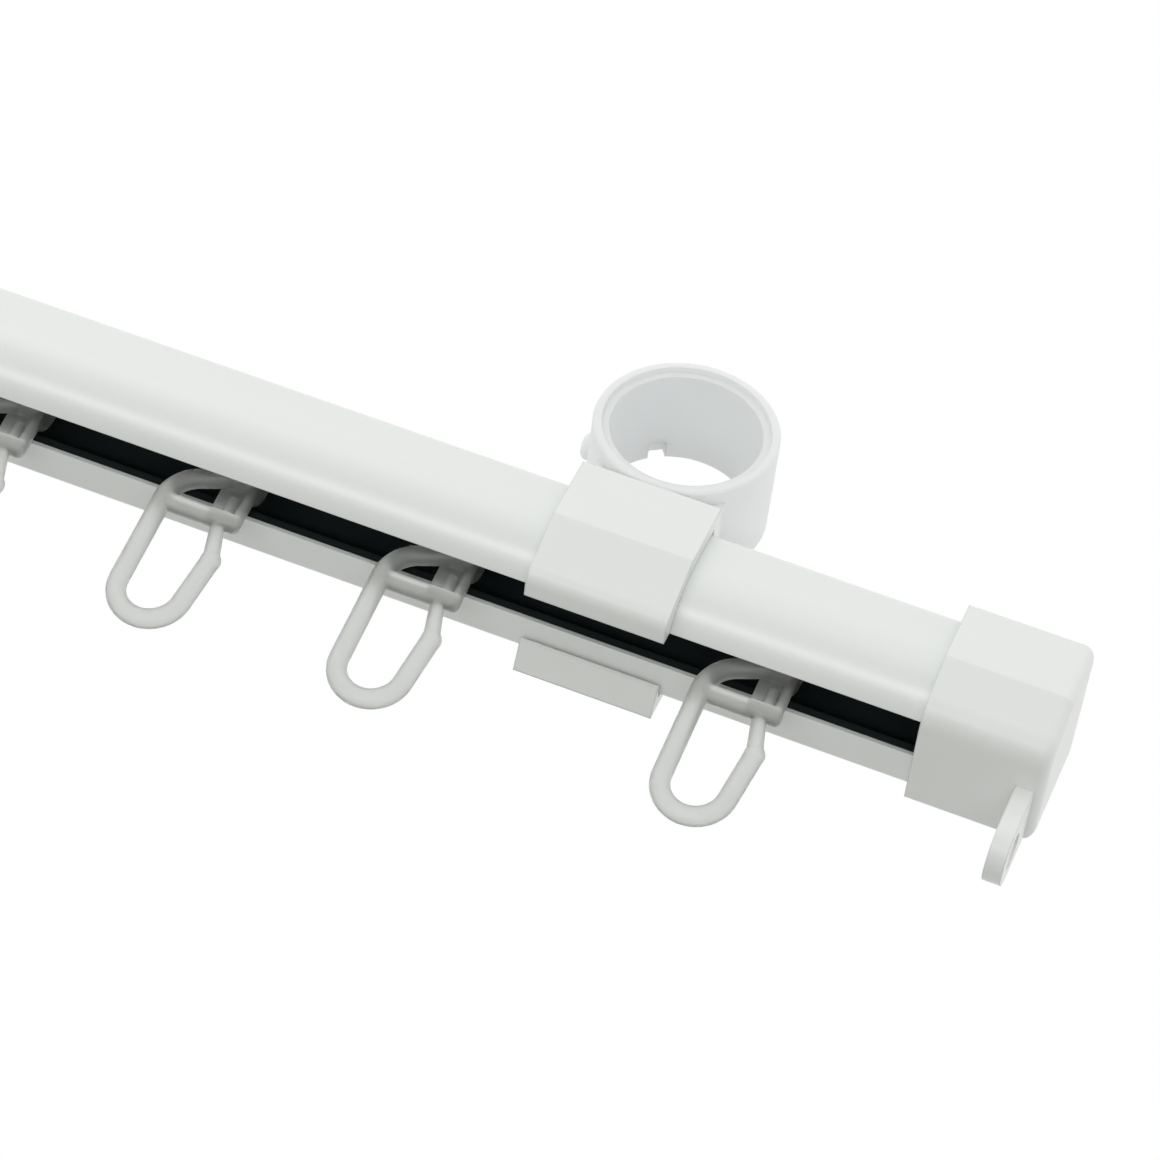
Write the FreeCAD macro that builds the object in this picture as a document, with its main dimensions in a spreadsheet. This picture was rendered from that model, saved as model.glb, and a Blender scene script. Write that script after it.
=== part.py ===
import FreeCAD, Part
import math
import os
import Sketcher

# Curtain track: a slotted rail with a glide liner inside, end caps, and clips that carry hanging rings.
# Millimetres. X runs along the rail to its right-hand end, -Y is the room side, +Y the wall, +Z up.
# The origin is on the axis of the right-hand ring's bore, at the ring's wall-side rim.
# Pieces are drawn in the section's own frame: Y = 0 in the middle of the slot, Z = 0 at mid-height of the rail.

SIZES = {
    # Rail: a rolled sheet tube, slotted along its underside, with a large round below its front.
    "rail_length": 450.0,
    "rail_depth": 16.4,
    "rail_height": 14.8,
    "rail_wall": 0.6,
    "slot_width": 5.8,
    "nose_radius": 8.0,
    "crown_radius": 1.5,
    "heel_radius": 0.6,
    # Glide liner inside the rail, its edges a little behind the slot's edges.
    "liner_wall": 1.4,
    "liner_setback": 0.3,
    "slip_fit": 0.1,
    # End caps: moulded sleeves with two flat front facets, a rounded toe, and an ear with an eye.
    "cap_length": 16.9,
    "cap_end_wall": 2.5,
    "cap_wall": 1.3,
    "cap_front_wall": 1.5,
    "cap_facet_height": 9.9,
    "cap_toe_radius": 4.2,
    "cap_end_radius": 1.6,
    "cap_edge_radius": 0.6,
    "facet_angle": 25.0,
    "ear_front": 0.2,
    "ear_width": 9.0,
    "ear_length": 11.0,
    "ear_thickness": 2.4,
    "ear_inset": 1.2,
    "ear_eye": 4.8,
    # Rail clips: C-shaped mouldings that snap over the rail, hooked under its front and its rear lip.
    "hanger_inset": 57.5,
    "clip_width": 18.9,
    "clip_front_wall": 2.0,
    "clip_top_wall": 2.4,
    "clip_rear_wall": 2.0,
    "clip_toe_wall": 1.6,
    "clip_facet_height": 10.5,
    "clip_toe_radius": 2.5,
    "clip_edge_radius": 0.5,
    "jaw_reach": 2.2,
    "jaw_tip": 0.6,
    "jaw_heel": 2.4,
    "jaw_gap": 0.4,
    # Hanging rings: a short tube on a saddle, held in the clip by a round spigot.
    "ring_bore": 20.0,
    "ring_wall": 2.25,
    "ring_length": 15.3,
    "ring_setback": 0.8,
    "ring_stand": 0.3,
    "rim_radius": 0.5,
    "rim_step_width": 1.0,
    "rim_step_depth": 0.8,
    "saddle_width": 17.5,
    "saddle_setback": 2.2,
    "spigot_diameter": 6.0,
    "spigot_length": 1.8,
    "keyway_width": 2.4,
    "keyway_depth": 1.3,
    "keyway_length": 2.5,
    "keyway_angle": 35.0,
    "pip_diameter": 3.8,
    "pip_height": 1.3,
    "pip_setback": 9.2,
    "pip_edge_radius": 1.0,
    # Runners: one moulding each, hung from a barrel-shaped head that rides on the liner's two edges.
    # Drops are measured down from the head's axis, reaches to the right from the loop's straight leg.
    # The loop hangs in front of the head's axis, in the middle of the slot.
    "head_radius": 4.0,
    "head_length": 4.4,
    "head_reach": 6.2,
    "head_edge_radius": 1.0,
    "head_play": 0.3,
    "loop_offset": 1.55,
    "loop_rod": 2.65,
    "loop_radius": 4.4,
    "loop_drop": 21.5,
    "leg_splay": 6.5,
    "kink_drop": 14.8,
    "knuckle_diameter": 2.75,
    "gate_rod": 1.9,
    "gate_reach": 8.1,
    "crossbar_rod": 2.5,
    "crossbar_drop": 8.7,
    "crossbar_reach": 10.9,
    "crossbar_end_radius": 0.8,
    "post_rod": 1.4,
    "post_reach": 10.15,
    "tooth_rod": 1.5,
    "tooth_reach": 8.55,
    "tooth_drop": 5.0,
    "tooth_tip_radius": 0.65,
    "arch_start_drop": 8.6,
    "arch_radius": 5.0,
    "arch_rise": 22.0,
    "arch_embed": 1.0,
    "neck_thickness": 1.2,
    "neck_offset": 0.9,
    "runner_lean": 13.0,
    # Places of the runners' straight legs, measured from the middle of the clip beside them.
    "outer_runner_offset": 15.5,
    "inner_runner_offset": 28.0,
    "last_runner_offset": 32.5,
}
INNER_RUNNERS = 10

# Document and its sheet of driving dimensions
doc = FreeCAD.newDocument("curtain_track")
sheet = doc.addObject("Spreadsheet::Sheet", "dims")
for row, (alias, value) in enumerate(SIZES.items(), start=1):
    sheet.set(f"A{row}", alias)
    sheet.set(f"B{row}", str(value))
    sheet.setAlias(f"B{row}", alias)
doc.recompute()


class Size:
    """A size with its expression: sketches start at the number and stay bound to the sheet by the text."""

    def __init__(self, text, value):
        self.text = text
        self.value = value

    def combine(self, sign, other, value):
        return Size(f"({self.text} {sign} {other.text})", value)

    def __add__(self, other):
        other = as_size(other)
        return self.combine("+", other, self.value + other.value)

    def __sub__(self, other):
        other = as_size(other)
        return self.combine("-", other, self.value - other.value)

    def __mul__(self, other):
        other = as_size(other)
        return self.combine("*", other, self.value * other.value)

    def __truediv__(self, other):
        other = as_size(other)
        return self.combine("/", other, self.value / other.value)

    def __neg__(self):
        return Size(f"(0 - {self.text})", -self.value)


def as_size(value):
    return value if isinstance(value, Size) else Size(str(value), float(value))


def dim(alias):
    """A driving dimension, by the name it has in the sheet."""
    return Size(f"dims.{alias}", float(sheet.get(alias)))


def sine(angle):
    return Size(f"sin({angle.text})", math.sin(math.radians(angle.value)))


def cosine(angle):
    return Size(f"cos({angle.text})", math.cos(math.radians(angle.value)))


def tangent(angle):
    return Size(f"tan({angle.text})", math.tan(math.radians(angle.value)))


def root(square):
    return Size(f"sqrt({square.text})", math.sqrt(square.value))


# Faces of the rail and of the pieces around it, in the section's frame
RAIL_BACK = dim("rail_depth") / 2
RAIL_TOP = dim("rail_height") / 2
SLOT_EDGE = dim("slot_width") / 2
CLIP_FRONT = -(RAIL_BACK + dim("clip_front_wall"))
CLIP_TOP = RAIL_TOP + dim("clip_top_wall")
RING_RADIUS = dim("ring_bore") / 2 + dim("ring_wall")
RING_AXIS = CLIP_TOP + dim("ring_stand") + RING_RADIUS
RING_FRONT = CLIP_FRONT + dim("ring_setback")
RING_BACK = RING_FRONT + dim("ring_length")
RIGHT_END = dim("hanger_inset")
LEFT_END = RIGHT_END - dim("rail_length")
LEFT_HANGER = LEFT_END + dim("hanger_inset")
EMBED = dim("cap_wall") / 2


def vector(x, y):
    return FreeCAD.Vector(as_size(x).value, as_size(y).value, 0)


def new_body(name):
    body = doc.addObject("PartDesign::Body", name)
    body.Label = name
    return body


def new_sketch(body, name, role, offset=None):
    """A sketch on one of the body's own origin planes, moved along the plane's normal by the offset."""
    sketch = body.newObject("Sketcher::SketchObject", name)
    plane = next(feature for feature in body.Origin.OriginFeatures if feature.Role == role)
    sketch.AttachmentSupport = [(plane, "")]
    sketch.MapMode = "FlatFace"
    if offset is not None:
        sketch.AttachmentOffset = FreeCAD.Placement(FreeCAD.Vector(0, 0, offset.value), FreeCAD.Rotation())
        sketch.setExpression("AttachmentOffset.Base.z", offset.text)
    return sketch


def measure(sketch, kind, *where):
    """Adds a dimension to the sketch and binds it to the sheet; the size comes last."""
    *places, length = where
    index = sketch.addConstraint(Sketcher.Constraint(kind, *places, length.value))
    sketch.setExpression(f"Constraints[{index}]", length.text)


def pin(sketch, curve, point, x, y):
    """Dimensions a point from the sketch's origin; a coordinate of 0 keeps it on the axis."""
    for kind, coordinate, axis in (("DistanceX", x, -2), ("DistanceY", y, -1)):
        if isinstance(coordinate, Size):
            measure(sketch, kind, -1, 1, curve, point, coordinate)
        else:
            sketch.addConstraint(Sketcher.Constraint("PointOnObject", curve, point, axis))


def polygon(sketch, corners):
    """A closed outline of straight lines through the corners."""
    count = len(corners)
    for i, corner in enumerate(corners):
        following = corners[(i + 1) % count]
        sketch.addGeometry(Part.LineSegment(vector(*corner), vector(*following)), False)
    for i, corner in enumerate(corners):
        sketch.addConstraint(Sketcher.Constraint("Coincident", i, 2, (i + 1) % count, 1))
        pin(sketch, i, 1, *corner)


def circle(sketch, x, y, diameter):
    shape = Part.Circle(vector(x, y), FreeCAD.Vector(0, 0, 1), diameter.value / 2)
    index = sketch.addGeometry(shape, False)
    pin(sketch, index, 3, x, y)
    measure(sketch, "Diameter", index, diameter)


def arc(centre, radius, first, last):
    """An arc of a circle between two angles in degrees, anticlockwise."""
    shape = Part.Circle(vector(*centre), FreeCAD.Vector(0, 0, 1), radius.value)
    return Part.ArcOfCircle(shape, math.radians(first), math.radians(last))


def rail_outline(sketch, inset):
    """The rail's outside, moved inwards by the inset: a rectangle with the large round below its front."""
    back = RAIL_BACK - inset
    top = RAIL_TOP - inset
    radius = dim("nose_radius") - inset
    centre = (radius - back, radius - top)
    lines = [((-back, top), (-back, centre[1])), ((centre[0], -top), (back, -top)),
             ((back, -top), (back, top)), ((back, top), (-back, top))]
    for start, end in lines:
        sketch.addGeometry(Part.LineSegment(vector(*start), vector(*end)), False)
    front, bottom, rear, crown = range(len(lines))
    nose = sketch.addGeometry(arc(centre, radius, 180, 270), False)
    sketch.addConstraint([
        Sketcher.Constraint("Tangent", front, 2, nose, 1),
        Sketcher.Constraint("Tangent", nose, 2, bottom, 1),
        Sketcher.Constraint("Coincident", bottom, 2, rear, 1),
        Sketcher.Constraint("Coincident", rear, 2, crown, 1),
        Sketcher.Constraint("Coincident", crown, 2, front, 1),
        Sketcher.Constraint("Vertical", front),
        Sketcher.Constraint("Horizontal", bottom),
    ])
    pin(sketch, rear, 1, back, -top)
    pin(sketch, rear, 2, back, top)
    pin(sketch, front, 1, -back, top)
    measure(sketch, "Radius", nose, radius)


def add_feature(body, kind, name, profile, length=None, reverse=False, symmetric=False):
    """A pad or a pocket of a sketch. It has to change the body's volume, the right way."""
    before = 0.0 if body.Shape.isNull() else body.Shape.Volume
    feature = body.newObject(f"PartDesign::{kind}", name)
    feature.Profile = profile
    feature.Reversed = reverse
    if symmetric:
        feature.SideType = "Symmetric"
    if length is None:
        feature.Type = "ThroughAll"
    else:
        feature.setExpression("Length", length.text)
    doc.recompute()
    grown = body.Shape.Volume - before
    if (grown < 0) != (kind == "Pocket") or grown == 0:
        raise RuntimeError(f"{body.Label}: {name} changes the volume by {grown:.3f}")
    return feature


def pad(body, name, profile, length, reverse=False, symmetric=False):
    return add_feature(body, "Pad", name, profile, length, reverse, symmetric)


def pocket(body, name, profile, length=None, reverse=False, symmetric=False):
    return add_feature(body, "Pocket", name, profile, length, reverse, symmetric)


def fillet(body, name, radius, chosen):
    """Rounds the edges of the body that the test chooses."""
    base = body.Tip
    names = [f"Edge{i}" for i, edge in enumerate(base.Shape.Edges, start=1) if chosen(edge)]
    if not names:
        raise RuntimeError(f"{body.Label}: {name} finds no edge")
    feature = body.newObject("PartDesign::Fillet", name)
    feature.Base = (base, names)
    feature.setExpression("Radius", radius.text)
    doc.recompute()


def lies(value, target):
    return math.isclose(value, as_size(target).value, abs_tol=1e-4)


def on_line(y, z):
    """Chooses the edges that run along X at this place of the section."""
    return lambda edge: all(lies(v.Y, y) and lies(v.Z, z) for v in edge.Vertexes)


def place(body, x, y, z):
    """Puts a piece in the part's frame, from its place in the section's frame."""
    spots = {"x": as_size(x), "y": as_size(y) - RING_BACK, "z": as_size(z) - RING_AXIS}
    for axis, spot in spots.items():
        body.setExpression(f"Placement.Base.{axis}", spot.text)


def build_rail():
    body = new_body("rail")
    outside = new_sketch(body, "rail_outside", "YZ_Plane")
    rail_outline(outside, as_size(0))
    pad(body, "rail_bar", outside, dim("rail_length"))
    fillet(body, "rail_crown", dim("crown_radius"), on_line(-RAIL_BACK, RAIL_TOP))
    fillet(body, "rail_heel", dim("heel_radius"),
           lambda edge: any(on_line(RAIL_BACK, z)(edge) for z in (RAIL_TOP, -RAIL_TOP)))
    inside = new_sketch(body, "rail_inside", "YZ_Plane")
    rail_outline(inside, dim("rail_wall"))
    pocket(body, "rail_channel", inside, reverse=True)
    wall = dim("rail_wall")
    fillet(body, "rail_inner_crown", dim("crown_radius") - wall, on_line(wall - RAIL_BACK, RAIL_TOP - wall))
    cut_slot(body, SLOT_EDGE)
    place(body, LEFT_END, 0, 0)
    return body


def cut_slot(body, half_width):
    """Opens the underside from below up to the middle of the channel."""
    slot = new_sketch(body, f"{body.Label}_slot", "YZ_Plane")
    below = -(RAIL_TOP + dim("rail_wall"))
    polygon(slot, [(-half_width, below), (half_width, below), (half_width, 0), (-half_width, 0)])
    pocket(body, f"{body.Label}_opening", slot, reverse=True)


def build_glide_liner():
    body = new_body("glide_liner")
    outset = dim("rail_wall") + dim("slip_fit")
    outside = new_sketch(body, "liner_outside", "YZ_Plane")
    rail_outline(outside, outset)
    pad(body, "liner_bar", outside, dim("rail_length"))
    fillet(body, "liner_crown", dim("crown_radius") - outset, on_line(outset - RAIL_BACK, RAIL_TOP - outset))
    inside = new_sketch(body, "liner_inside", "YZ_Plane")
    rail_outline(inside, outset + dim("liner_wall"))
    pocket(body, "liner_channel", inside, reverse=True)
    cut_slot(body, SLOT_EDGE + dim("liner_setback"))
    place(body, LEFT_END, 0, 0)
    return body


def build_end_cap(name, outwards):
    """A cap that sleeves over the rail's end; outwards is 1 on the right-hand end and -1 on the left."""
    body = new_body(name)
    left = outwards < 0
    front = -(RAIL_BACK + dim("cap_front_wall"))
    back = RAIL_BACK + dim("cap_wall")
    top = RAIL_TOP + dim("cap_wall")
    crease = top - dim("cap_facet_height")
    toe = front + (crease + top) * tangent(dim("facet_angle"))
    outside = new_sketch(body, f"{name}_outside", "YZ_Plane")
    polygon(outside, [(back, top), (front, top), (front, crease), (toe, -top), (back, -top)])
    pad(body, f"{name}_block", outside, dim("cap_length"), reverse=left)
    fillet(body, f"{name}_toe", dim("cap_toe_radius"), on_line(toe, -top))
    end = dim("cap_length") * outwards
    fillet(body, f"{name}_end", dim("cap_end_radius"), lambda edge: all(lies(v.X, end) for v in edge.Vertexes))
    fillet(body, f"{name}_edges", dim("cap_edge_radius"), lambda edge: is_cap_edge(edge, front, back, top))
    socket = new_sketch(body, f"{name}_socket", "YZ_Plane")
    rail_outline(socket, -dim("slip_fit"))
    pocket(body, f"{name}_bore", socket, dim("cap_length") - dim("cap_end_wall"), reverse=not left)
    add_ear(body, outwards, -top)
    rail_end = LEFT_END if left else RIGHT_END
    place(body, rail_end + (dim("cap_end_wall") - dim("cap_length")) * outwards, 0, 0)
    return body


def is_cap_edge(edge, front, back, top):
    """The cap's long edges above its front and at its back, which run along X up to the rounded end."""
    if not lies(edge.Vertexes[0].Y, edge.Vertexes[-1].Y) or not lies(edge.Vertexes[0].Z, edge.Vertexes[-1].Z):
        return False
    corners = ((front, top), (back, top), (back, -top))
    return any(on_line(y, z)(edge) for y, z in corners)


def add_ear(body, outwards, underside):
    """The flat ear under the cap, round below, with an eye for the curtain's last hook."""
    near = (dim("cap_length") - dim("ear_inset") - dim("ear_thickness")) * outwards
    radius = dim("ear_width") / 2
    middle = dim("ear_front") + radius
    centre = underside - dim("ear_length") + radius
    start = underside + EMBED
    ear = new_sketch(body, f"{body.Label}_ear_outline", "YZ_Plane", near)
    rear = dim("ear_front") + dim("ear_width")
    lines = [((rear, centre), (rear, start)), ((rear, start), (dim("ear_front"), start)),
             ((dim("ear_front"), start), (dim("ear_front"), centre))]
    for first, last in lines:
        ear.addGeometry(Part.LineSegment(vector(*first), vector(*last)), False)
    tip = ear.addGeometry(arc((middle, centre), radius, 180, 360), False)
    ear.addConstraint([
        Sketcher.Constraint("Coincident", 0, 2, 1, 1),
        Sketcher.Constraint("Coincident", 1, 2, 2, 1),
        Sketcher.Constraint("Tangent", 2, 2, tip, 1),
        Sketcher.Constraint("Tangent", tip, 2, 0, 1),
        Sketcher.Constraint("Vertical", 0),
        Sketcher.Constraint("Vertical", 2),
    ])
    pin(ear, 0, 2, rear, start)
    pin(ear, 1, 2, dim("ear_front"), start)
    measure(ear, "DistanceY", -1, 1, tip, 3, centre)
    pad(body, f"{body.Label}_ear", ear, dim("ear_thickness"), reverse=outwards < 0)
    eye = new_sketch(body, f"{body.Label}_eye_outline", "YZ_Plane", near)
    circle(eye, middle, centre, dim("ear_eye"))
    pocket(body, f"{body.Label}_eye", eye, dim("ear_thickness"), reverse=outwards > 0)


def build_rail_clip(name, middle):
    body = new_body(name)
    back = RAIL_BACK + dim("clip_rear_wall")
    crease = CLIP_TOP - dim("clip_facet_height")
    bottom = -(RAIL_TOP + dim("clip_toe_wall"))
    toe = CLIP_FRONT + (crease - bottom) * tangent(dim("facet_angle"))
    jaw_front = RAIL_BACK - dim("jaw_reach")
    jaw_top = -(RAIL_TOP + dim("jaw_gap"))
    outside = new_sketch(body, f"{name}_outside", "YZ_Plane")
    polygon(outside, [
        (back, CLIP_TOP), (CLIP_FRONT, CLIP_TOP), (CLIP_FRONT, crease), (toe, bottom), (SLOT_EDGE, bottom),
        (jaw_front, jaw_top - dim("jaw_tip")), (back, -(RAIL_TOP + dim("jaw_heel"))),
    ])
    pad(body, f"{name}_block", outside, dim("clip_width"), symmetric=True)
    fillet(body, f"{name}_toe", dim("clip_toe_radius"), on_line(toe, bottom))
    fillet(body, f"{name}_edges", dim("clip_edge_radius"),
           lambda edge: any(on_line(y, CLIP_TOP)(edge) for y in (CLIP_FRONT, back)))
    grip = new_sketch(body, f"{name}_grip", "YZ_Plane")
    rail_outline(grip, -dim("slip_fit"))
    pocket(body, f"{name}_channel", grip, dim("clip_width"), symmetric=True)
    mouth = new_sketch(body, f"{name}_mouth", "YZ_Plane")
    inner_back = RAIL_BACK + dim("slip_fit")
    low = bottom - dim("jaw_heel")
    polygon(mouth, [(-SLOT_EDGE, low), (jaw_front, low), (jaw_front, jaw_top), (inner_back, jaw_top),
                    (inner_back, 0), (-SLOT_EDGE, 0)])
    pocket(body, f"{name}_opening", mouth, dim("clip_width"), symmetric=True)
    seat = new_sketch(body, f"{name}_seat", "XY_Plane", CLIP_TOP)
    seat_depth = (RING_FRONT + dim("saddle_setback") + RING_BACK) / 2
    circle(seat, 0, seat_depth, dim("spigot_diameter") + dim("slip_fit"))
    pocket(body, f"{name}_spigot_hole", seat, dim("spigot_length") + dim("slip_fit"))
    place(body, middle, 0, 0)
    return body


def build_ring(name, middle):
    body = new_body(name)
    # The XZ plane faces the room, so a sketch at the wall-side rim lies at minus that depth.
    rim = new_sketch(body, f"{name}_rim", "XZ_Plane", -RING_BACK)
    circle(rim, 0, RING_AXIS, RING_RADIUS * 2)
    pad(body, f"{name}_tube", rim, dim("ring_length"))
    fillet(body, f"{name}_edges", dim("rim_radius"), lambda edge: edge.Curve.TypeId == "Part::GeomCircle")
    half = dim("saddle_width") / 2
    shoulder = RING_AXIS - root(RING_RADIUS * RING_RADIUS - half * half)
    saddle = new_sketch(body, f"{name}_saddle_outline", "XZ_Plane", -RING_BACK)
    polygon(saddle, [(-half, CLIP_TOP), (half, CLIP_TOP), (half, shoulder), (-half, shoulder)])
    saddle_length = dim("ring_length") - dim("saddle_setback")
    pad(body, f"{name}_saddle", saddle, saddle_length)
    add_pip(body)
    foot = new_sketch(body, f"{name}_foot", "XY_Plane", CLIP_TOP)
    circle(foot, 0, RING_BACK - saddle_length / 2, dim("spigot_diameter"))
    pad(body, f"{name}_spigot", foot, dim("spigot_length"), reverse=True)
    bore = new_sketch(body, f"{name}_bore_outline", "XZ_Plane", -RING_BACK)
    circle(bore, 0, RING_AXIS, dim("ring_bore"))
    pocket(body, f"{name}_bore", bore, dim("ring_length"), reverse=True)
    step = new_sketch(body, f"{name}_step_outline", "XZ_Plane", -RING_FRONT)
    circle(step, 0, RING_AXIS, dim("ring_bore") + dim("rim_step_width") * 2)
    pocket(body, f"{name}_step", step, dim("rim_step_depth"))
    cut_keyway(body)
    place(body, middle, 0, 0)
    return body


def add_pip(body):
    """The small round pip on the ring's left side."""
    spot = new_sketch(body, f"{body.Label}_pip_outline", "YZ_Plane", -(RING_RADIUS - dim("ring_wall") / 2))
    circle(spot, RING_FRONT + dim("pip_setback"), RING_AXIS, dim("pip_diameter"))
    pad(body, f"{body.Label}_pip", spot, dim("ring_wall") / 2 + dim("pip_height"), reverse=True)
    tip = -(RING_RADIUS + dim("pip_height"))
    fillet(body, f"{body.Label}_pip_edge", dim("pip_edge_radius"),
           lambda edge: all(lies(v.X, tip) for v in edge.Vertexes))


def cut_keyway(body):
    """A short keyway in the bore at the wall-side rim, left of the top."""
    angle = dim("keyway_angle")
    half = dim("keyway_width") / 2
    outer = dim("ring_bore") / 2 + dim("keyway_depth")
    inner = dim("ring_bore") / 2 - dim("keyway_depth")
    keyway = new_sketch(body, f"{body.Label}_keyway_outline", "XZ_Plane", -RING_BACK)
    corners = []
    for radius, side in ((inner, -half), (inner, half), (outer, half), (outer, -half)):
        across = side * cosine(angle) - radius * sine(angle)
        up = RING_AXIS + radius * cosine(angle) + side * sine(angle)
        corners.append((across, up))
    polygon(keyway, corners)
    pocket(body, f"{body.Label}_keyway", keyway, dim("keyway_length"), reverse=True)


def head_axis():
    """The place of a runner's head in the section, as far from both of the liner's edges as its play allows."""
    lining = dim("rail_wall") + dim("slip_fit") + dim("liner_wall")
    edge = SLOT_EDGE + dim("liner_setback")
    radius = dim("nose_radius") - lining
    offset = edge + dim("nose_radius") - RAIL_BACK
    near = dim("nose_radius") - RAIL_TOP - root(radius * radius - offset * offset)
    far = lining - RAIL_TOP
    fall = (near - far) / 2
    chord = root(edge * edge + fall * fall)
    reach = dim("head_radius") + dim("head_play")
    rise = root(reach * reach - chord * chord)
    return fall / chord * rise, (near + far) / 2 + edge / chord * rise


def rod(body, name, path, start, diameter):
    """Sweeps a round rod along a path that sets out up or down from the straight leg's axis at this drop."""
    profile = new_sketch(body, f"{name}_section", "XY_Plane", -start)
    circle(profile, 0, 0, diameter)
    pipe = body.newObject("PartDesign::AdditivePipe", name)
    pipe.Profile = profile
    pipe.Spine = path
    doc.recompute()


def taper(body, name, low, high):
    """A round rod that changes its thickness between two places, each given as reach, drop and diameter."""
    ends = []
    for end, (reach, drop, diameter) in (("low", low), ("high", high)):
        section = new_sketch(body, f"{name}_{end}", "XY_Plane", -drop)
        circle(section, reach, 0, diameter)
        ends.append(section)
    loft = body.newObject("PartDesign::AdditiveLoft", name)
    loft.Profile = ends[0]
    loft.Sections = [ends[1]]
    loft.Ruled = True
    doc.recompute()


def ball(body, name, reach, drop, diameter):
    sphere = body.newObject("PartDesign::AdditiveSphere", name)
    plane = next(feature for feature in body.Origin.OriginFeatures if feature.Role == "XY_Plane")
    sphere.AttachmentSupport = [(plane, "")]
    sphere.MapMode = "FlatFace"
    sphere.setExpression("AttachmentOffset.Base.x", reach.text)
    sphere.setExpression("AttachmentOffset.Base.z", (-drop).text)
    sphere.setExpression("Radius", (diameter / 2).text)
    doc.recompute()


def build_runner(name, leg_place):
    body = new_body(name)
    add_loop(body)
    add_arch(body)
    add_gate(body)
    add_head(body)
    y, z = head_axis()
    lean = dim("runner_lean")
    body.Placement = FreeCAD.Placement(FreeCAD.Vector(), FreeCAD.Rotation(FreeCAD.Vector(1, 0, 0), lean.value))
    body.setExpression("Placement.Rotation.Angle", lean.text)
    offset = dim("loop_offset")
    place(body, leg_place, y - offset * cosine(lean), z - offset * sine(lean))
    return body


def kink_reach():
    """The reach of the splayed leg's upper end, where the slim leg meets it."""
    radius, splay = dim("loop_radius"), dim("leg_splay")
    climb = dim("loop_drop") + radius * sine(splay) - dim("kink_drop")
    return radius + radius * cosine(splay) + climb * tangent(splay)


def add_loop(body):
    """The eyelet's rod: straight leg, round bottom, and the splayed leg up to the kink."""
    name = f"{body.Label}_loop"
    radius, drop, splay = dim("loop_radius"), dim("loop_drop"), dim("leg_splay")
    top = dim("arch_start_drop")
    turn = (radius + radius * cosine(splay), -(drop + radius * sine(splay)))
    kink = (kink_reach(), -dim("kink_drop"))
    path = new_sketch(body, f"{name}_path", "XZ_Plane")
    leg = path.addGeometry(Part.LineSegment(vector(0, -top), vector(0, -drop)), False)
    bend = path.addGeometry(arc((radius, -drop), radius, 180, 360 - splay.value), False)
    rise = path.addGeometry(Part.LineSegment(vector(*turn), vector(*kink)), False)
    path.addConstraint([
        Sketcher.Constraint("Tangent", leg, 2, bend, 1),
        Sketcher.Constraint("Tangent", bend, 2, rise, 1),
    ])
    pin(path, leg, 1, 0, -top)
    pin(path, leg, 2, 0, -drop)
    measure(path, "Radius", bend, radius)
    pin(path, rise, 2, *kink)
    rod(body, name, path, top, dim("loop_rod"))


def add_arch(body):
    """The same rod bends over inside the channel and climbs into the head."""
    name = f"{body.Label}_arch"
    radius, start, slope = dim("arch_radius"), dim("arch_start_drop"), dim("arch_rise")
    turn = (radius - radius * sine(slope), radius * cosine(slope) - start)
    reach = dim("head_reach") + dim("arch_embed")
    end = (reach, turn[1] + (reach - turn[0]) * tangent(slope))
    path = new_sketch(body, f"{name}_path", "XZ_Plane")
    bend = path.addGeometry(arc((radius, -start), radius, 90 + slope.value, 180), False)
    climb = path.addGeometry(Part.LineSegment(vector(*turn), vector(*end)), False)
    path.addConstraint(Sketcher.Constraint("Tangent", bend, 1, climb, 1))
    pin(path, bend, 2, 0, -start)
    measure(path, "DistanceY", -1, 1, bend, 3, -start)
    measure(path, "Radius", bend, radius)
    pin(path, climb, 2, *end)
    rod(body, name, path, start, dim("loop_rod"))


def add_gate(body):
    """Crossbar, slim leg down to the kink, post up into the head, tooth, and the neck behind it."""
    name = body.Label
    drop, end = dim("crossbar_drop"), dim("crossbar_reach")
    bar = new_sketch(body, f"{name}_crossbar_section", "YZ_Plane")
    circle(bar, 0, -drop, dim("crossbar_rod"))
    pad(body, f"{name}_crossbar", bar, end)
    fillet(body, f"{name}_crossbar_end", dim("crossbar_end_radius"),
           lambda edge: all(lies(v.X, end) for v in edge.Vertexes))
    kink = (kink_reach(), dim("kink_drop"))
    ball(body, f"{name}_knuckle", *kink, dim("knuckle_diameter"))
    thick = (dim("loop_rod") + dim("gate_rod")) / 2
    slim = dim("gate_rod")
    taper(body, f"{name}_gate", (*kink, thick), (dim("gate_reach"), drop + slim / 4, slim))
    post = new_sketch(body, f"{name}_post_section", "XY_Plane", -drop)
    circle(post, dim("post_reach"), 0, dim("post_rod"))
    pad(body, f"{name}_post", post, drop - dim("head_radius") / 2)
    tooth = new_sketch(body, f"{name}_tooth_section", "XY_Plane", -drop)
    circle(tooth, dim("tooth_reach"), 0, dim("tooth_rod"))
    pad(body, f"{name}_tooth", tooth, drop - dim("tooth_drop"))
    tip = -dim("tooth_drop")
    fillet(body, f"{name}_tooth_tip", dim("tooth_tip_radius"),
           lambda edge: len(edge.Vertexes) == 1 and lies(edge.Vertexes[0].Z, tip))
    neck = new_sketch(body, f"{name}_neck_outline", "XZ_Plane", -dim("neck_offset"))
    near = dim("head_reach")
    far = near + dim("head_length")
    inside = -dim("head_radius") / 2
    polygon(neck, [(near, -drop), (far, -drop), (far, inside), (near, inside)])
    pad(body, f"{name}_neck", neck, dim("neck_thickness"), symmetric=True)


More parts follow.
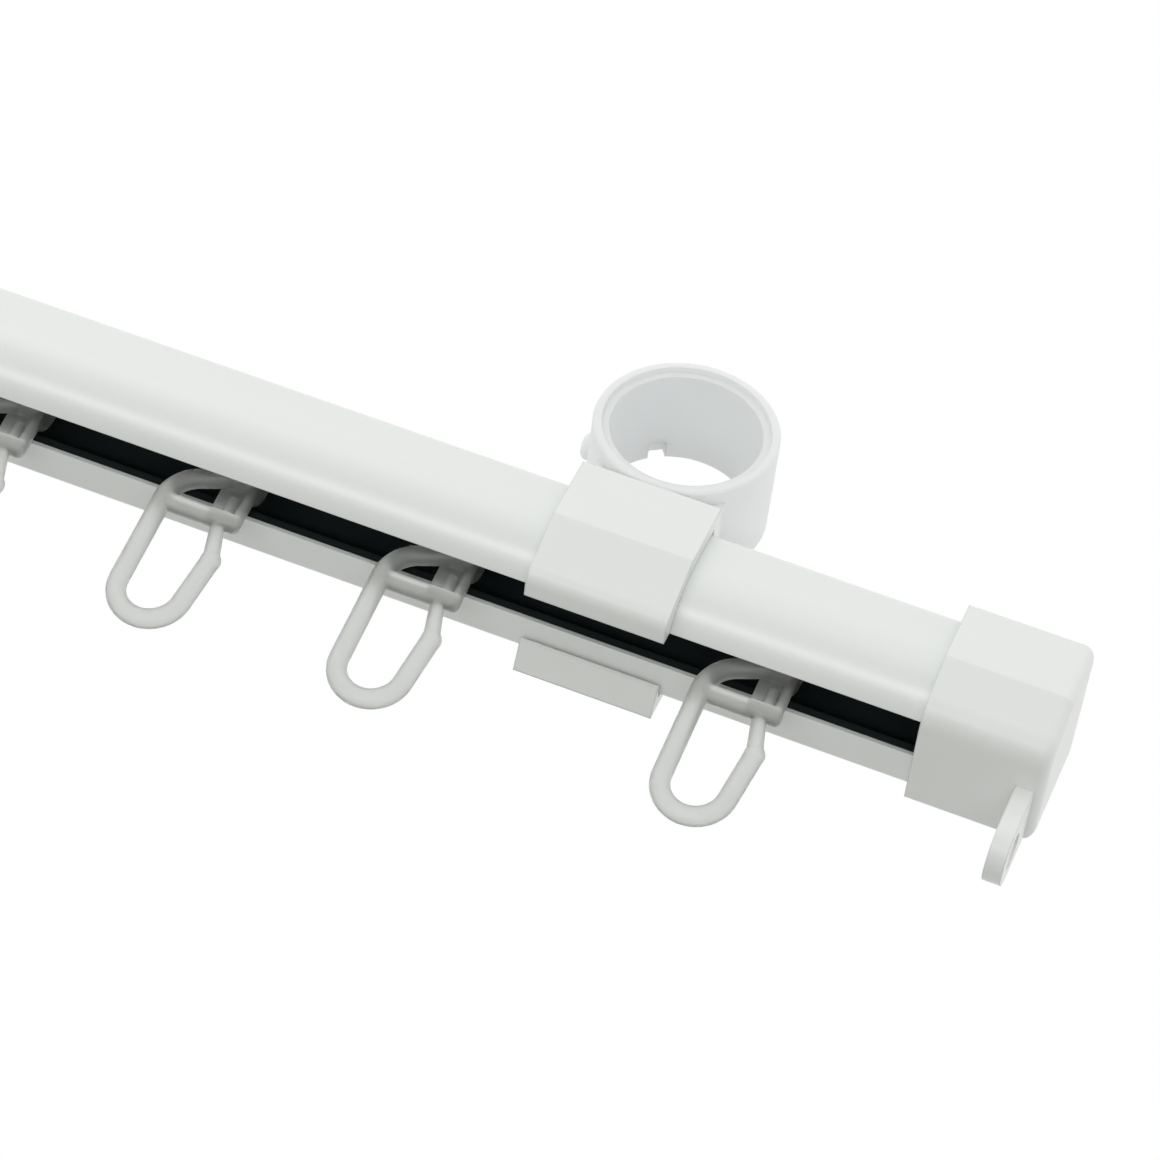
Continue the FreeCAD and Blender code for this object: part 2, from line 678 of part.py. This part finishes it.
def add_head(body):
    """The barrel that rides in the channel, its ends rounded, turned about its own axis."""
    name = f"{body.Label}_head"
    radius, edge = dim("head_radius"), dim("head_edge_radius")
    near = dim("head_reach")
    far = near + dim("head_length")
    shoulder = radius - edge
    outline = new_sketch(body, f"{name}_outline", "XZ_Plane", -dim("loop_offset"))
    lines = [((near, 0), (near, shoulder)), ((near + edge, radius), (far - edge, radius)),
             ((far, shoulder), (far, 0)), ((far, 0), (near, 0))]
    for start, end in lines:
        outline.addGeometry(Part.LineSegment(vector(*start), vector(*end)), False)
    near_end, side, far_end, axis = range(len(lines))
    near_round = outline.addGeometry(arc((near + edge, shoulder), edge, 90, 180), False)
    far_round = outline.addGeometry(arc((far - edge, shoulder), edge, 0, 90), False)
    outline.addConstraint([
        Sketcher.Constraint("Tangent", near_end, 2, near_round, 2),
        Sketcher.Constraint("Tangent", near_round, 1, side, 1),
        Sketcher.Constraint("Tangent", side, 2, far_round, 2),
        Sketcher.Constraint("Tangent", far_round, 1, far_end, 1),
        Sketcher.Constraint("Coincident", far_end, 2, axis, 1),
        Sketcher.Constraint("Coincident", axis, 2, near_end, 1),
        Sketcher.Constraint("Vertical", near_end),
        Sketcher.Constraint("Vertical", far_end),
        Sketcher.Constraint("Horizontal", side),
    ])
    pin(outline, axis, 1, far, 0)
    pin(outline, axis, 2, near, 0)
    measure(outline, "Radius", near_round, edge)
    measure(outline, "Radius", far_round, edge)
    measure(outline, "DistanceY", -1, 1, side, 1, radius)
    barrel = body.newObject("PartDesign::Revolution", name)
    barrel.Profile = outline
    barrel.ReferenceAxis = (outline, ["H_Axis"])
    doc.recompute()


# Fixed pieces
pieces = [
    build_rail(),
    build_glide_liner(),
    build_end_cap("right_end_cap", 1),
    build_end_cap("left_end_cap", -1),
    build_rail_clip("right_rail_clip", as_size(0)),
    build_rail_clip("left_rail_clip", LEFT_HANGER),
    build_ring("right_ring", as_size(0)),
    build_ring("left_ring", LEFT_HANGER),
]

# Runners from right to left: one outside each clip, the rest evenly spaced between the clips
first = -dim("inner_runner_offset")
last = LEFT_HANGER + dim("last_runner_offset")
leg_places = [dim("outer_runner_offset")]
leg_places += [first + (last - first) * i / (INNER_RUNNERS - 1) for i in range(INNER_RUNNERS)]
leg_places.append(LEFT_HANGER - dim("outer_runner_offset") - dim("crossbar_reach"))
for i, leg_place in enumerate(leg_places, start=1):
    pieces.append(build_runner(f"runner_{i:02d}", leg_place))

# Every object has to be sound before anything is written
doc.recompute()
for item in doc.Objects:
    if "Invalid" in item.State or "Error" in item.State:
        raise RuntimeError(f"{item.Label} failed: {item.State}")
for piece in pieces:
    if piece.Shape.isNull() or not piece.Shape.isValid() or len(piece.Shape.Solids) != 1:
        raise RuntimeError(f"{piece.Label} is not one valid solid")

os.makedirs("parts", exist_ok=True)
for piece in pieces:
    piece.Shape.exportStep(f"parts/{piece.Label}.step")
    print(piece.Label, round(piece.Shape.Volume, 2), "mm3")
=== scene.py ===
# %% [markdown]
# A short curtain track, seen from the room and from below, as a person under a window sees it.
# The white rail is a drawn and painted tube with a slot along its underside. Moulded caps close its ends,
# clips with hanging rings grip it, and small eyelet runners ride inside the slot.
# The solids come from the frame, so this lesson is about finishes, light and the camera.

# %% Load the frame
import math
import bpy
from mathutils import Euler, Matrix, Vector

MM = 0.001

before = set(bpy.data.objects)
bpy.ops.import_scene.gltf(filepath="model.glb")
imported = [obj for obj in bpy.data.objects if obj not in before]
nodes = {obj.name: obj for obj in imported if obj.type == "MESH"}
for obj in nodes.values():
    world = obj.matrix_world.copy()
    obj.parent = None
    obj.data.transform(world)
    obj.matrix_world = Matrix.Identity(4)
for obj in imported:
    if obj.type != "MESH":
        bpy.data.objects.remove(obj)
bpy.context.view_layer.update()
runner_names = sorted(name for name in nodes if name.startswith("runner_"))
print("solids:", len(nodes), "runners:", len(runner_names))

# %% [markdown]
# Two effects are shared by several finishes, so each is a shader node group that is built once.
# Three small helpers keep the building short.

# %% Helpers for shader nodes
def new_group(name, inputs, outputs):
    """A shader group with number inputs, given with their defaults, and number outputs."""
    group = bpy.data.node_groups.new(name, "ShaderNodeTree")
    for label, value in inputs.items():
        socket = group.interface.new_socket(label, in_out="INPUT", socket_type="NodeSocketFloat")
        socket.default_value = value
    for label in outputs:
        group.interface.new_socket(label, in_out="OUTPUT", socket_type="NodeSocketFloat")
    return group, group.nodes.new("NodeGroupInput"), group.nodes.new("NodeGroupOutput")


def add_node(tree, kind, settings=None, **links):
    """A node with its settings and its links; a link's name is the socket's, with _ for a blank."""
    node = tree.nodes.new(kind)
    for key, value in (settings or {}).items():
        if isinstance(key, str) and hasattr(node, key):
            setattr(node, key, value)
        else:
            node.inputs[key].default_value = value
    for socket, source in links.items():
        tree.links.new(source, node.inputs[socket.replace("_", " ")])
    return node


def add_math(tree, operation, first, second):
    """A sum of two values, each of which is a number or another node's output."""
    node = add_node(tree, "ShaderNodeMath", {"operation": operation})
    for socket, value in zip(node.inputs, (first, second)):
        if isinstance(value, float):
            socket.default_value = value
        else:
            tree.links.new(value, socket)
    return node.outputs[0]


# %% [markdown]
# The first effect is the skin that a steel mould leaves on plastic: a very fine, soft grain with slow changes of
# sheen. Noise on Object coordinates needs no UV map, and it stays in place when a piece moves.

# %% The moulded skin
MOTTLE_PER_METRE = 90.0
NOISE_MIDDLE = 0.5

skin_group, skin_in, skin_out = new_group(
    "moulded_skin",
    {"Grain per metre": 2500.0, "Sheen": 0.4, "Sheen change": 0.06},
    ("Height", "Roughness", "Mottle"))
place = add_node(skin_group, "ShaderNodeTexCoord")
grain = add_node(skin_group, "ShaderNodeTexNoise", {"Detail": 3.0},
                 Vector=place.outputs["Object"], Scale=skin_in.outputs["Grain per metre"])
slow = add_node(skin_group, "ShaderNodeTexNoise", {"Scale": MOTTLE_PER_METRE, "Detail": 4.0},
                Vector=place.outputs["Object"])
centred = add_math(skin_group, "SUBTRACT", slow.outputs["Fac"], NOISE_MIDDLE)
change = add_math(skin_group, "MULTIPLY", centred, skin_in.outputs["Sheen change"])
sheen = add_math(skin_group, "ADD", skin_in.outputs["Sheen"], change)
skin_group.links.new(grain.outputs["Fac"], skin_out.inputs["Height"])
skin_group.links.new(sheen, skin_out.inputs["Roughness"])
skin_group.links.new(slow.outputs["Fac"], skin_out.inputs["Mottle"])
print("group:", skin_group.name, [item.name for item in skin_group.interface.items_tree])

# %% [markdown]
# The second effect is what a die leaves on a drawn or extruded profile: faint lines that run the whole length.
# The noise is stretched along X, the way the metal was drawn, by a Mapping node.

# %% The draw lines
STRETCH = (0.01, 1.0, 1.0)
STREAKS_PER_METRE = 260.0

draw_group, draw_in, draw_out = new_group("draw_lines", {"Lines per metre": 1500.0}, ("Height", "Streak"))
place = add_node(draw_group, "ShaderNodeTexCoord")
stretched = add_node(draw_group, "ShaderNodeMapping", {"Scale": STRETCH}, Vector=place.outputs["Object"])
lines = add_node(draw_group, "ShaderNodeTexNoise", {"Detail": 2.0},
                 Vector=stretched.outputs["Vector"], Scale=draw_in.outputs["Lines per metre"])
streaks = add_node(draw_group, "ShaderNodeTexNoise", {"Scale": STREAKS_PER_METRE, "Detail": 2.0},
                   Vector=stretched.outputs["Vector"])
draw_group.links.new(lines.outputs["Fac"], draw_out.inputs["Height"])
draw_group.links.new(streaks.outputs["Fac"], draw_out.inputs["Streak"])
print("group:", draw_group.name)

# %% [markdown]
# Every finish starts from one Principled shader. A colour that drifts a little between two close tones looks
# like real paint or plastic, where one flat colour looks like a drawing.

# %% Helpers for finishes
DARK_UP_TO = 0.3
LIGHT_FROM = 0.7
BEVEL_SAMPLES = 4


def place_group(tree, group, **values):
    node = tree.nodes.new("ShaderNodeGroup")
    node.node_tree = group
    for label, value in values.items():
        node.inputs[label.replace("_", " ")].default_value = value
    return node


def new_finish(name, **sockets):
    """A material with one Principled shader, whose plain sockets are set here."""
    finish = bpy.data.materials.new(name)
    finish.use_nodes = True
    shader = finish.node_tree.nodes["Principled BSDF"]
    for label, value in sockets.items():
        shader.inputs[label.replace("_", " ")].default_value = value
    return finish, finish.node_tree, shader


def tone(tree, shader, factor, light, dark):
    """A base colour that drifts between two tones as the factor does."""
    ramp = add_node(tree, "ShaderNodeValToRGB", Fac=factor)
    for stop, position, colour in zip(ramp.color_ramp.elements, (DARK_UP_TO, LIGHT_FROM), (dark, light)):
        stop.position = position
        stop.color = (*colour, 1.0)
    tree.links.new(ramp.outputs["Color"], shader.inputs["Base Color"])


def relief(tree, shader, height, depth_mm, strength, edge_mm):
    """Fine relief on the surface, over edges that the mould or the die has rounded by this much."""
    rounded = add_node(tree, "ShaderNodeBevel", {"samples": BEVEL_SAMPLES, "Radius": edge_mm * MM})
    bump = add_node(tree, "ShaderNodeBump", {"Strength": strength, "Distance": depth_mm * MM},
                    Height=height, Normal=rounded.outputs["Normal"])
    tree.links.new(bump.outputs["Normal"], shader.inputs["Normal"])


# %% [markdown]
# The rail is painted metal with a satin gloss. The paint hides most of the draw lines, so they are only just
# there.

# %% White paint of the rail
rail_paint, tree, shader = new_finish("rail_paint", Specular_IOR_Level=0.9, Coat_Weight=0.8, Coat_Roughness=0.3)
drawn = place_group(tree, draw_group)
skin = place_group(tree, skin_group, Grain_per_metre=900.0, Sheen=0.33, Sheen_change=0.04)
tone(tree, shader, drawn.outputs["Streak"], light=(0.795, 0.822, 0.795), dark=(0.782, 0.808, 0.782))
tree.links.new(skin.outputs["Roughness"], shader.inputs["Roughness"])
relief(tree, shader, drawn.outputs["Height"], depth_mm=0.01, strength=0.15, edge_mm=0.15)
print("finish:", rail_paint.name)

# %% [markdown]
# Inside the rail is a black glide profile. It lies in the dark and is nearly matt, so the slot reads as one black
# band.

# %% Black of the glide liner
liner_plastic, tree, shader = new_finish("liner_plastic", Specular_IOR_Level=0.15)
drawn = place_group(tree, draw_group, Lines_per_metre=2500.0)
skin = place_group(tree, skin_group, Sheen=0.5, Sheen_change=0.1)
tone(tree, shader, drawn.outputs["Streak"], light=(0.0215, 0.0285, 0.0290), dark=(0.0180, 0.0240, 0.0245))
tree.links.new(skin.outputs["Roughness"], shader.inputs["Roughness"])
relief(tree, shader, drawn.outputs["Height"], depth_mm=0.01, strength=0.2, edge_mm=0.2)
print("finish:", liner_plastic.name)

# %% [markdown]
# The other pieces are moulded, and their colour, sheen and grain all come from the moulded skin.

# %% A helper for moulded plastic
def mould(tree, shader, light, dark, strength, edge_mm, **skin_values):
    skin = place_group(tree, skin_group, **skin_values)
    tone(tree, shader, skin.outputs["Mottle"], light, dark)
    tree.links.new(skin.outputs["Roughness"], shader.inputs["Roughness"])
    relief(tree, shader, skin.outputs["Height"], 0.012, strength, edge_mm)


# %% [markdown]
# The caps and clips are white plastic, a little more matt than the paint.

# %% White plastic of the caps and clips
fitting_plastic, tree, shader = new_finish(
    "fitting_plastic", Specular_IOR_Level=0.6,
    Subsurface_Weight=0.08, Subsurface_Scale=1.0 * MM, Subsurface_Radius=(1.0, 1.0, 1.0))
mould(tree, shader, light=(0.818, 0.840, 0.816), dark=(0.805, 0.827, 0.803), strength=0.2, edge_mm=0.35,
      Grain_per_metre=3200.0, Sheen=0.38, Sheen_change=0.06)
print("finish:", fitting_plastic.name)

# %% [markdown]
# The rings are unpigmented plastic. Light that wanders inside the wall makes them milky and lifts the shade in
# the bore.

# %% Milky plastic of the rings
ring_plastic, tree, shader = new_finish(
    "ring_plastic", Specular_IOR_Level=0.15,
    Subsurface_Weight=0.45, Subsurface_Scale=6.0 * MM, Subsurface_Radius=(0.95, 1.0, 1.0))
mould(tree, shader, light=(0.806, 0.822, 0.822), dark=(0.793, 0.809, 0.809), strength=0.15, edge_mm=0.3,
      Grain_per_metre=2600.0, Sheen=0.5, Sheen_change=0.08)
print("finish:", ring_plastic.name)

# %% [markdown]
# The runners are the same family of plastic, greyer and waxy. Much of the light goes through them, so they are
# pale in front of the white ground and dark in front of the black slot.

# %% Waxy plastic of the runners
runner_plastic, tree, shader = new_finish(
    "runner_plastic", Transmission_Weight=0.82, IOR=1.5,
    Subsurface_Weight=0.4, Subsurface_Scale=2.0 * MM, Subsurface_Radius=(0.9, 1.0, 0.9))
mould(tree, shader, light=(0.720, 0.738, 0.712), dark=(0.698, 0.717, 0.690), strength=0.2, edge_mm=0.45,
      Grain_per_metre=3000.0, Sheen=0.38, Sheen_change=0.08)
print("finish:", runner_plastic.name)

# %% Put the finishes on the solids
finishes = {"rail": rail_paint, "glide_liner": liner_plastic}
for end in ("right", "left"):
    finishes[f"{end}_end_cap"] = fitting_plastic
    finishes[f"{end}_rail_clip"] = fitting_plastic
    finishes[f"{end}_ring"] = ring_plastic
for name in runner_names:
    finishes[name] = runner_plastic
for name, finish in finishes.items():
    nodes[name].data.materials.clear()
    nodes[name].data.materials.append(finish)
print("finishes set on", len(finishes), "solids")

# %% [markdown]
# The track hangs in the air, so the pale floor is far below it. Seen from below, the floor lets the eye through,
# so that the track can be looked at from every side. A white floor under a white sky would light the undersides
# as brightly as the front, and the rail would look flat, so the light that the floor sends back is held down.

# %% Pale finish of the floor
FLOOR_SEEN = (0.70, 0.70, 0.69, 1.0)
FLOOR_RETURNED = (0.34, 0.34, 0.33, 1.0)

floor_pale, tree, shader = new_finish("floor_pale", Roughness=0.9)
rays = add_node(tree, "ShaderNodeLightPath")
shade = add_node(tree, "ShaderNodeMix", {"data_type": "RGBA"}, Factor=rays.outputs["Is Diffuse Ray"])
shade.inputs["A"].default_value = FLOOR_SEEN
shade.inputs["B"].default_value = FLOOR_RETURNED
tree.links.new(shade.outputs["Result"], shader.inputs["Base Color"])
side = add_node(tree, "ShaderNodeNewGeometry")
clear = add_node(tree, "ShaderNodeBsdfTransparent")
either = add_node(tree, "ShaderNodeMixShader", Fac=side.outputs["Backfacing"])
tree.links.new(shader.outputs["BSDF"], either.inputs[1])
tree.links.new(clear.outputs["BSDF"], either.inputs[2])
tree.links.new(either.outputs["Shader"], tree.nodes["Material Output"].inputs["Surface"])

# %% [markdown]
# The light is set for a floor of 6 by 6 metres. A second sheet, 1 mm lower, carries it on to the horizon for the
# eye alone: it is hidden from the rays that light the track.

# %% Floor
FLOOR_HEIGHT = -0.8


def add_floor(name, half, height):
    mesh = bpy.data.meshes.new(name)
    corners = [(-half, -half, height), (half, -half, height), (half, half, height), (-half, half, height)]
    mesh.from_pydata(corners, [], [(0, 1, 2, 3)])
    mesh.materials.append(floor_pale)
    sheet = bpy.data.objects.new(name, mesh)
    bpy.context.scene.collection.objects.link(sheet)
    print("floor:", name, 2 * half, "m wide")
    return sheet


add_floor("floor", 3.0, FLOOR_HEIGHT)
far_floor = add_floor("far_floor", 40.0, FLOOR_HEIGHT - MM)
far_floor.visible_diffuse = False
far_floor.visible_glossy = False
far_floor.visible_transmission = False
far_floor.visible_shadow = False

# %% [markdown]
# A cut-out photo has a pure white ground. An even white sky of strength 1 gives that ground, and under it a
# colour renders about as it is written.

# %% World
world = bpy.data.worlds.new("studio")
bpy.context.scene.world = world
world.use_nodes = True
sky = world.node_tree.nodes["Background"]
sky.inputs["Color"].default_value = (1.0, 1.0, 1.0, 1.0)
sky.inputs["Strength"].default_value = 1.0
print("world:", world.name)

# %% [markdown]
# Two lamps give the shapes their turn. A long soft box lies in front of the track and below it: it lights the
# undersides and draws the long soft highlight on the round below the rail's front. A weak window lies to the
# left.

# %% Lamps
TRACK_MIDDLE = Vector((-0.05, -0.01, -0.02))


def add_lamp(name, spot, width, height, watts):
    """A rectangular lamp that is aimed at the middle of the track."""
    lamp = bpy.data.lights.new(name, "AREA")
    lamp.shape = "RECTANGLE"
    lamp.size = width
    lamp.size_y = height
    lamp.energy = watts
    holder = bpy.data.objects.new(name, lamp)
    holder.location = spot
    holder.rotation_euler = (TRACK_MIDDLE - Vector(spot)).to_track_quat("-Z", "Y").to_euler()
    bpy.context.scene.collection.objects.link(holder)
    print("lamp:", name, watts, "W")


add_lamp("soft_box", (-0.05, -0.60, -0.72), width=1.30, height=0.20, watts=2.6)
add_lamp("window", (-0.9, -1.5, 0.6), width=1.0, height=1.0, watts=1.6)

# %% [markdown]
# The camera stands below the rail and a little to its right, with a long lens. Its place was worked out from the
# photo's edges: the rail's four long edges, the outlines of cap and clip, and the ring's two circles.

# %% Camera
CAMERA_SPOT = (0.102281, -0.401234, -0.392341)
CAMERA_TURN_DEGREES = (136.0616, -21.5720, -5.7242)
LENS_MM = 134.66
SENSOR_MM = 36.0

camera = bpy.data.objects.new("camera", bpy.data.cameras.new("camera"))
camera.data.sensor_width = SENSOR_MM
camera.data.lens = LENS_MM
camera.data.clip_start = 0.01
camera.location = CAMERA_SPOT
camera.rotation_euler = Euler([math.radians(angle) for angle in CAMERA_TURN_DEGREES], "XYZ")
bpy.context.scene.collection.objects.link(camera)
bpy.context.scene.camera = camera
bpy.context.scene.view_settings.view_transform = "Standard"
